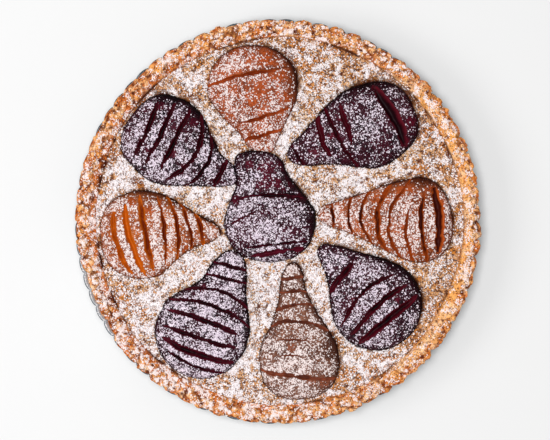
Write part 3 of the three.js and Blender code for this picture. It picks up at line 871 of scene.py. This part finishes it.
def makePear(pear, number):
    lines = pearLines(pear)
    shares = np.cos(np.pi * np.arange(pearForm["pointsAcross"]) / (pearForm["pointsAcross"] - 1))
    left, right = flankAt(pear, lines, 1), flankAt(pear, lines, -1)
    across = np.where(shares > 0, left * shares, -right * shares)
    apart = 0.02 * np.arange(len(lines))[:, None]  # so that no lines meet
    along = np.maximum.accumulate(alongAt(pear, lines, across) - apart, axis=0) + apart
    width = pearHalfWidth(pear, along, across)
    across = np.clip(across, -width, width)
    place = pearPlace(pear, along, across)
    dome = pearDome(pear, along, across)
    flat = np.concatenate([place, dome[..., None]], axis=2).reshape(-1, 3)

    def noise(size, seed, layers=3):
        return roughNoise(flat, size, seed + number, layers).reshape(dome.shape)

    jagSize, jagDepth = pearForm["jagged"]
    jag = jagDepth * noise(jagSize, 30)
    bridged = pear.get("bridged", 0.35) * ramp(-0.1, 0.5, noise(6, 50, 2))
    depth, inside, bright = slitDepths(pear, along, across, shares, jag, bridged)
    sliceNumber, within = slices(pear, lines)
    drawer = np.random.default_rng(100 + number)
    tilts = drawer.uniform(-1, 1, len(pear["slits"]) + 1) * pearForm["tilt"]
    tones = drawer.uniform(0, 1, len(pear["slits"]) + 1)
    crown = np.clip(1 - shares**2, 0, 1)[None, :]
    bulge = -pearForm["bulge"] * (2 * within - 1) ** 4
    tilt = tilts[sliceNumber] * (2 * within - 1)
    wrinkle = layered(flat, pearForm["wrinkles"], 40 + 3 * number, 1, 1).reshape(dome.shape)
    top = dome + (bulge + tilt)[:, None] * crown + wrinkle * np.minimum(crown * 3, 1) - depth
    top = np.maximum(top, pearForm["flank"] - 0.2)
    surface = np.concatenate([place, top[..., None]], axis=2)

    def under(column, height):
        return np.concatenate([surface[:, column, :2], np.full((len(lines), 1), height)], axis=1)[:, None]

    middle = (pearForm["seat"] + pearForm["flank"]) / 2
    loops = np.concatenate([under(0, pearForm["seat"]), under(0, middle), surface,
                            under(-1, middle), under(-1, pearForm["seat"])], axis=1)
    count = loops.shape[1]

    def end(alongEnd):
        x, y = pearPlace(pear, np.array([alongEnd]), np.zeros(1))[0]
        heights = [pearForm["seat"], middle, *[pearForm["flank"]] * len(shares), middle, pearForm["seat"]]
        return np.array([[x, y, height] for height in heights])[None]

    grid = np.concatenate([end(-pear["blossom"]), loops, end(pear["neck"])])
    points = grid.reshape(-1, 3)
    faces = gridFaces(len(grid), count)

    def spread(values, rest=0.0):
        whole = np.full((len(grid), count), rest)
        whole[1:-1, 2:-2] = values
        return whole.ravel()

    ragged = 0.5 * noise(3.5, 80)
    bare = np.zeros(dome.shape)
    for alongSpot, acrossSpot, radius in pear["bare"]:
        fromSpot = np.hypot(along - alongSpot, across - acrossSpot) / radius
        bare = np.maximum(bare, 1 - ramp(0.6, 1.1, fromSpot + ragged))
    away = flat[:, :2] - pearPlace(pear, np.array([0.0]), np.zeros(1))
    away /= np.maximum(np.hypot(*away.T), 1e-6)[:, None]
    # painted shade on the steep flanks and the ends beyond the outermost cuts, stronger toward darkSide; it
    # also keeps sugar off
    shady = ramp(-0.5, 0.9, away @ darkSide).reshape(dome.shape)
    steep = np.maximum(np.abs(shares)[None, :], np.abs(2 * within - 1)[:, None] * endSlice(pear, lines))
    steep = steep ** (10 - 6 * shady)
    flankShade = steep * mixed(skins[pear["skin"]]["shade"], 1, shady)
    sugarPatch = ramp(-0.45, 0.3, noise(8, 60))
    sugar = 1.5 * pear["sugar"] * (0.35 + 0.65 * sugarPatch) * (1 - 0.95 * np.clip(1.3 * flankShade, 0, 1))
    sugar = sugar * (1 - 0.75 * bare)
    sugar = sugar * sugarFall(flat).reshape(dome.shape) * (1 - ramp(0.05, 0.3, inside))
    marks = {
        "cut": spread(inside),
        "deep": spread(np.clip(depth / pearForm["slitDepth"], 0, 1) * (1.25 - bright)),
        "edge": spread(flankShade * (1 - inside), 1.0),
        "slice": spread(tones[sliceNumber][:, None] + 0 * dome),
        "bare": spread(bare),
        "sugar": spread(np.clip(sugar, 0, 1)),
    }
    points, faces, marks = welded(points, faces, marks)
    piece = makePiece("baked_" + pear["name"], points, faces, pearMaterial(pear), marks)
    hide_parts(pear["name"])
    return piece


def makePrism(name, outline, low, high):
    rings = [np.column_stack([outline, np.full(len(outline), height)]) for height in (low, high)]
    middle = outline.mean(axis=0)
    return addMesh(name, *ringsSolid(rings, [*middle, low], [*middle, high]))


def cutBy(piece, cutter):
    change = piece.modifiers.new("trim", "BOOLEAN")
    change.operation = "DIFFERENCE"
    change.solver = "MANIFOLD"
    change.object = cutter
    graph = bpy.context.evaluated_depsgraph_get()
    trimmed = bpy.data.meshes.new_from_object(piece.evaluated_get(graph))
    piece.modifiers.clear()
    piece.data = trimmed


def moveUnevenly(piece):
    vertices = piece.data.vertices
    vertices.foreach_set("co", (uneven(readMesh(vertices, "co", 3) / mm) * mm).ravel())
    piece.data.update()


def makePears():
    pieces = {pear["name"]: makePear(pear, k) for k, pear in enumerate(pears)}
    centre = pears[-1]
    grown = grownOutline(pearOutline(centre, pearLines(centre)), pearForm["joint"])
    prism = makePrism("centrePocket", grown, pearForm["seat"] - 4, pearForm["flank"] + 40)
    for pear in pears[:-1]:
        cutBy(pieces[pear["name"]], prism)
    bpy.data.objects.remove(prism)
    for piece in pieces.values():
        moveUnevenly(piece)
    return pieces


# Filling
filling = {
    "underside": 5.4,
    "height": 29.8,
    "edgeHeight": 29.2,
    "edgeWidth": 7,
    "clearance": (0.08, 0.45),
    "pocketFloor": 13.7,
    "grid": 296,
    "creaseDepth": 3.4,
    "lip": 0.7,
    "pitSize": 5.5,
    "roughness": [(8, 0.35), (3, 0.3), (1.7, 0.16)],
}


def outlineDistance(points, outline):  # how far outside each point is, and the nearest place on the outline
    run = np.roll(outline, -1, axis=0) - outline
    nearest = np.full(len(points), 1e9)
    spot = np.zeros((len(points), 2))
    crossings = np.zeros(len(points), int)
    for a, step in zip(outline, run):
        away = points - a
        share = np.clip((away @ step) / (step @ step), 0, 1)
        place = a + share[:, None] * step
        distance = np.hypot(*(points - place).T)
        closer = distance < nearest
        nearest = np.where(closer, distance, nearest)
        spot[closer] = place[closer]
        b = a + step
        spans = (a[1] > points[:, 1]) != (b[1] > points[:, 1])
        meets = a[0] + (points[:, 1] - a[1]) / (step[1] if step[1] else 1e-12) * step[0]
        crossings += spans & (points[:, 0] < meets)
    return np.where(crossings % 2 == 1, -nearest, nearest), spot


def pearDistance(points):  # to the nearest pear's outline
    nearest = np.full(len(points), 99.0)
    spot = np.zeros((len(points), 2))
    for pear in pears:
        outline = pearOutline(pear, pearLines(pear))[::2]
        middle = outline.mean(axis=0)
        reach = np.hypot(*(outline - middle).T).max() + 12
        close = np.flatnonzero(np.hypot(*(points - middle).T) < reach)
        distance, place = outlineDistance(points[close], outline)
        closer = distance < nearest[close]
        nearest[close[closer]] = distance[closer]
        spot[close[closer]] = place[closer]
    return nearest, spot


def fillingMaterial():
    graph = Graph("almondFilling", 0.18)
    patch = graph.noise(14, 3.0, 0.6)
    mottle = graph.noise(2.4, 3.0, 0.7, 2.0)
    fine = graph.noise(0.8, 2.0, 0.6, 6.0)
    pale = graph.blend((228, 188, 146), (206, 156, 108), patch.step(0.38, 0.62))
    golden = (graph.mark("golden") + mottle.step(0.42, 0.68) * 0.6).clipped()
    base = graph.blend(pale, (200, 124, 50), golden)
    base = graph.blend(base, (128, 76, 42), graph.specks(1.3, patch.step(0.2, 0.8) * 0.6, 0.83) * 0.75)
    # pits: specks of painted shade in small pits, sunk by the bump
    pits = graph.specks(1.7, mottle.step(0.35, 0.65) * 0.62, 0.57)
    base = graph.blend(base, (78, 38, 22), pits * 0.95)
    # dark: painted shade in the creases by the pears and the crust, in pits and in cracks
    base = graph.blend(base, (96, 36, 18), graph.mark("dark").clipped())
    colour, cover = dusted(graph, base, graph.mark("sugar"))
    crumbs = graph.specks(1.3, graph.noise(5, 2.0, 0.6, 9.0).step(0.25, 0.75) * 0.5, 0.91)
    colour = graph.blend(colour, (118, 80, 60), crumbs * 0.85)
    height = mottle * 0.5 + fine * 0.3 + cover * 0.5 - pits * 0.5 - crumbs * 0.3
    return graph.finish(colour, 0.82 + cover * 0.1, height, 0.55)


def makeFilling():
    count = filling["grid"]
    u, v = np.meshgrid(np.linspace(-1, 1, count), np.linspace(-1, 1, count), indexing="ij")
    x, y = (u * np.sqrt(1 - v * v / 2)).ravel(), (v * np.sqrt(1 - u * u / 2)).ravel()
    turns = (np.arctan2(y, x) / fullTurn) % 1
    seam = seamAt(turns)
    edgeRadius = crustInsideRadius(filling["edgeHeight"] - 1, turns) - mixed(*filling["clearance"], seam)
    flat = np.stack([x * edgeRadius, y * edgeRadius], axis=-1)
    fromPear, spot = pearDistance(flat)
    grown = pearForm["growth"]
    near = np.abs(fromPear - grown) < 0.45
    outward = (flat - spot) * np.sign(fromPear)[:, None]
    outward /= np.maximum(np.hypot(*outward.T), 1e-9)[:, None]
    border = np.hypot(x, y) > 0.995
    near &= ~border
    level = np.column_stack([flat, np.zeros(len(flat))])
    broken = ramp(-0.45, 0.5, roughNoise(level, 9, 105))
    gaping = np.clip(0.08 + ramp(-0.3, 0.8, outward @ darkSide), 0, 1) * (0.3 + 0.7 * broken)
    flat[near] = (spot + outward * mixed(0.08, grown, gaping)[:, None])[near]
    fromPear = np.where(near, grown, fromPear)
    radius = np.hypot(*flat.T)
    fromEdge = np.maximum(edgeRadius - radius, 0)
    px, py = flat.T
    edge = filling["height"] - filling["edgeHeight"] + 1.6 * seam * np.exp(-fromEdge / 2)
    puffs = 0.6 * np.sin(px / 15 + 1) * np.cos(py / 13) + 0.4 * np.sin((px + py) / 11 + 2)
    relief = layered(level, filling["roughness"], 70, 4, 3)
    pits, own = nearestSpot(level, filling["pitSize"], 81)
    pitRadius = 0.7 + 1.0 * own
    pit = np.where(own > 0.5, 1 - ramp(0.35 * pitRadius, pitRadius, pits), 0)
    crackLine = np.exp(-((softNoise(level, 13, 90) / 0.07) ** 2))
    crack = crackLine * ramp(0.1, 0.5, softNoise(level, 30, 94)) * ramp(2, 5, fromPear)
    lip = filling["lip"] * np.exp(-(((fromPear - 2.6) / 2) ** 2)) * (0.4 + roughNoise(level, 5, 108) ** 2)
    crease = filling["creaseDepth"] * (1 - ramp(grown, grown + mixed(0.4, 2.6, gaping), fromPear)) * gaping
    edge = edge * np.exp(-fromEdge / filling["edgeWidth"])
    quiet = ramp(0, 1.0, fromEdge)
    height = filling["height"] - edge + puffs + quiet * (relief + lip - 1.3 * pit - 0.7 * crack) - crease
    height = np.where(fromPear < grown - 0.01, filling["pocketFloor"], height)
    top = uneven(np.column_stack([flat, height]))
    index = np.arange(count * count).reshape(count, count)
    quads = np.stack([index[:-1, :-1], index[1:, :-1], index[1:, 1:], index[:-1, 1:]], axis=-1)
    faces = quads.reshape(-1, 4).tolist()
    ring = [*index[:-1, 0], *index[-1, :-1], *index[:0:-1, -1], *index[0, :0:-1]]
    ringTurns = turns[ring]
    lowRadius = crustInsideRadius(filling["underside"], ringTurns) - filling["clearance"][1]
    low = ringAt(ringTurns, lowRadius, filling["underside"])
    first = len(top)
    lowRing = list(range(first, first + len(ring)))
    following = [*range(1, len(ring)), 0]
    faces += [[ring[b], ring[a], lowRing[a], lowRing[b]] for a, b in enumerate(following)]
    faces += fan(lowRing, first + len(ring), flipped=True)
    points = np.concatenate([top, low, [[0, 0, filling["underside"]]]])
    towardRim = ramp(70, 122, radius)
    patches = roughNoise(level, 12, 97)
    golden = np.clip(0.35 * towardRim + 0.6 * ramp(0, 0.6, patches) + 0.5 * ramp(0.25, 0.8, relief), 0, 1)
    # painted shade along the creases by the pears, wider where they gape toward darkSide, and along the open
    # seam by the crust
    creaseShade = gaping * np.exp(-np.maximum(fromPear - grown, 0) / mixed(0.3, 1.4, gaping))
    creaseShade = np.clip(creaseShade + 1.3 * seam * np.exp(-fromEdge / 1.1), 0, 1)
    dark = np.clip(creaseShade + 0.9 * pit + 0.8 * crack, 0, 1)
    bare = ramp(-0.25, 0.35, roughNoise(level, 5, 99))
    spots, spotOwn = nearestSpot(level, 8, 115)
    spotWide = 1 + 2.2 * spotOwn
    spot = np.where(spotOwn > 0.3, 1 - ramp(0.6 * spotWide, spotWide, spots), 0) * (0.6 + 0.4 * towardRim)
    golden = np.maximum(golden, 0.9 * spot)
    toMiddle = 1.5 - 0.55 * towardRim + 0.55 * ramp(60, 20, np.hypot(px - 5, py + 45))
    toMiddle = toMiddle * (1 - 0.45 * ramp(55, 20, np.hypot(px - 105, py + 60)))
    sugar = (0.22 + 0.76 * bare) * toMiddle * sugarFall(level) * (1 - 0.85 * spot)
    sugar = np.clip(sugar * (1 - 0.8 * pit) * (1 - 0.9 * creaseShade), 0, 1)
    marks = {"golden": golden, "dark": dark, "sugar": sugar * (fromPear >= grown)}
    marks = {key: np.pad(values, (0, len(points) - len(top))) for key, values in marks.items()}
    piece = makePiece("almond_filling", points, faces, fillingMaterial(), marks)
    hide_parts("frangipane")
    return piece


# Icing sugar grains
grains = {
    "radius": (0.34, 0.68),
    "flatness": 0.5,
    "sink": 0.2,
    "clumpSize": 1.9,
    "count": {"crust": 8300, "filling": 18500, "red": 10200, "amber": 9200},
}


def sugarMaterial(kind):
    graph = Graph(f"{kind}Sugar", 0.2)
    # each grain's colour lies at random between lit sugar and a painted shaded copy of it
    tone = (graph.mark("tone") * 0.8 + graph.noise(2.2, 2.0) * 0.8 - 0.1).clipped()
    litSugar, shadedSugar = sugarLook[kind]
    colour = graph.blend(shadedSugar, litSugar, tone)
    return graph.finish(colour, 0.85 + graph.noise(0.5, 1.0) * 0.1, graph.noise(0.25, 2.0), 0.06)


def surfaceSpots(pieces, count, drawer):  # random places on these pieces, more where the sugar mark is high
    places, normals, weights = [], [], []
    for piece in pieces:
        mesh = piece.data
        mesh.calc_loop_triangles()
        corners = readMesh(mesh.loop_triangles, "vertices", 3, int)
        sugar = readMesh(mesh.attributes["sugar"].data, "value", 1, np.float32).ravel()
        triangles = readMesh(mesh.vertices, "co", 3)[corners] / mm
        normal = np.cross(triangles[:, 1] - triangles[:, 0], triangles[:, 2] - triangles[:, 0])
        area = np.maximum(np.linalg.norm(normal, axis=1), 1e-12)
        up = normal[:, 2] / area
        density = sugar[corners].min(axis=1)
        weights.append(area * density * ramp(0.25, 0.8, up) * up)
        places.append(triangles)
        normals.append(normal / area[:, None])
    places, normals, weights = (np.concatenate(each) for each in (places, normals, weights))
    weights *= np.hypot(*places.mean(axis=1)[:, :2].T) < 138.5  # so that none hangs over the edge
    clump = ramp(-0.45, 0.55, roughNoise(places.mean(axis=1), grains["clumpSize"], 120))
    weights = weights * (0.35 + clump)
    chosen = drawer.choice(len(weights), count, p=weights / weights.sum())
    share = drawer.random((count, 2))
    share = np.where(share.sum(axis=1, keepdims=True) > 1, 1 - share, share)
    triangle = places[chosen]
    along = triangle[:, 1:] - triangle[:, :1]
    return triangle[:, 0] + np.einsum("nk,nkj->nj", share, along), normals[chosen]


def makeGrains(name, pieces, count, kind, seed):
    drawer = np.random.default_rng(seed)
    at, normals = surfaceSpots(pieces, count, drawer)
    corners = np.array([(1, 0, 0), (0, 1, 0), (-1, 0, 0), (0, -1, 0), (0, 0, 1), (0, 0, -1)])
    faces = np.array([(0, 1, 4), (1, 2, 4), (2, 3, 4), (3, 0, 4), (1, 0, 5), (2, 1, 5), (3, 2, 5), (0, 3, 5)])
    low, high = grains["radius"]
    radius = low + (high - low) * drawer.random(count) ** 1.6
    shape = corners[None] * drawer.uniform(0.75, 1.3, (count, len(corners), 1)) * [1, 1, grains["flatness"]]
    turned = drawer.random(count) * fullTurn
    side = np.stack([np.cos(turned), np.sin(turned), np.zeros(count)], axis=-1)
    side -= normals * np.sum(side * normals, axis=1, keepdims=True)
    side /= np.linalg.norm(side, axis=1, keepdims=True)
    axes = np.stack([side, np.cross(normals, side), normals], axis=1)
    points = np.einsum("nvk,nkj->nvj", shape, axes) * radius[:, None, None]
    points += (at + normals * (radius * grains["sink"])[:, None])[:, None]
    allFaces = (faces[None] + len(corners) * np.arange(count)[:, None, None]).reshape(-1, 3).tolist()
    tones = np.repeat(drawer.random(count), len(corners))
    piece = makePiece(name, points.reshape(-1, 3), allFaces, sugarMaterial(kind), {"tone": tones})
    piece.data.shade_flat()


def makeSugar(crustPiece, fillingPiece, pearPieces):
    counts = grains["count"]
    makeGrains("sugar_on_crust", [crustPiece], counts["crust"], "pastry", 201)
    makeGrains("sugar_on_filling", [fillingPiece], counts["filling"], "plain", 202)
    for k, (skin, look) in enumerate(skins.items()):
        pieces = [pearPieces[pear["name"]] for pear in pears if pear["skin"] == skin]
        makeGrains(f"sugar_on_{skin}_pears", pieces, counts[skin], skin, 203 + k)


# Floor, light and camera
stage = {
    "floorSize": 6000,
    "cameraHeight": 1500,
    "cameraX": -1.725,
    "cameraY": 1.035,
    "frameWidth": 379.5,
    "rimHeight": 32,
    "worldStrength": 0.18,
}
softboxes = [
    {"name": "leftSoftbox", "place": (-1300, -200, 1350), "size": 900, "power": 8.5},
    {"name": "overheadSoftbox", "place": (-175, 20, 2500), "size": 800, "power": 52.5},
]


def makeStage():
    size = stage["floorSize"] / 2
    corners = [(x * size, y * size, -0.05) for x, y in ((-1, -1), (1, -1), (1, 1), (-1, 1))]
    floor = addMesh("paleFloor", corners, [[0, 1, 2, 3]])
    graph = Graph("palePaint")
    colour = graph.blend((231.1, 231.1, 231.1), (232.4, 232.4, 232.4), graph.noise(60, 2.0))
    floor.data.materials.append(graph.finish(colour, 0.75, graph.noise(3, 2.0), 0.02))
    world = bpy.data.worlds.new("softRoom")
    world.use_nodes = True
    background = world.node_tree.nodes["Background"].inputs
    background["Color"].default_value = (1, 1, 1, 1)
    background["Strength"].default_value = stage["worldStrength"]
    scene.world = world


def makeLights():
    for softbox in softboxes:
        data = bpy.data.lights.new(softbox["name"], "AREA")
        data.shape = "SQUARE"
        data.size = softbox["size"] * mm
        data.energy = softbox["power"]
        light = bpy.data.objects.new(softbox["name"], data)
        light.location = Vector(softbox["place"]) * mm
        light.rotation_euler = light.location.to_track_quat("Z", "Y").to_euler()  # it shines on the tart
        scene.collection.objects.link(light)


def makeCamera():
    data = bpy.data.cameras.new("overhead")
    height = stage["cameraHeight"] + stage["rimHeight"]
    data.sensor_width = 36
    data.lens = data.sensor_width * stage["cameraHeight"] / stage["frameWidth"]
    data.clip_end = 20
    camera = bpy.data.objects.new("overhead", data)
    camera.location = (stage["cameraX"] * mm, stage["cameraY"] * mm, height * mm)
    scene.collection.objects.link(camera)
    scene.camera = camera


makeStage()
makeLights()
makeCamera()
print("stage set")
makeTin()
crustPiece = makeCrust()
print("tin and crust made")
pearPieces = makePears()
print("pears made")
fillingPiece = makeFilling()
print("filling made")
makeSugar(crustPiece, fillingPiece, pearPieces)
print("sugar made")
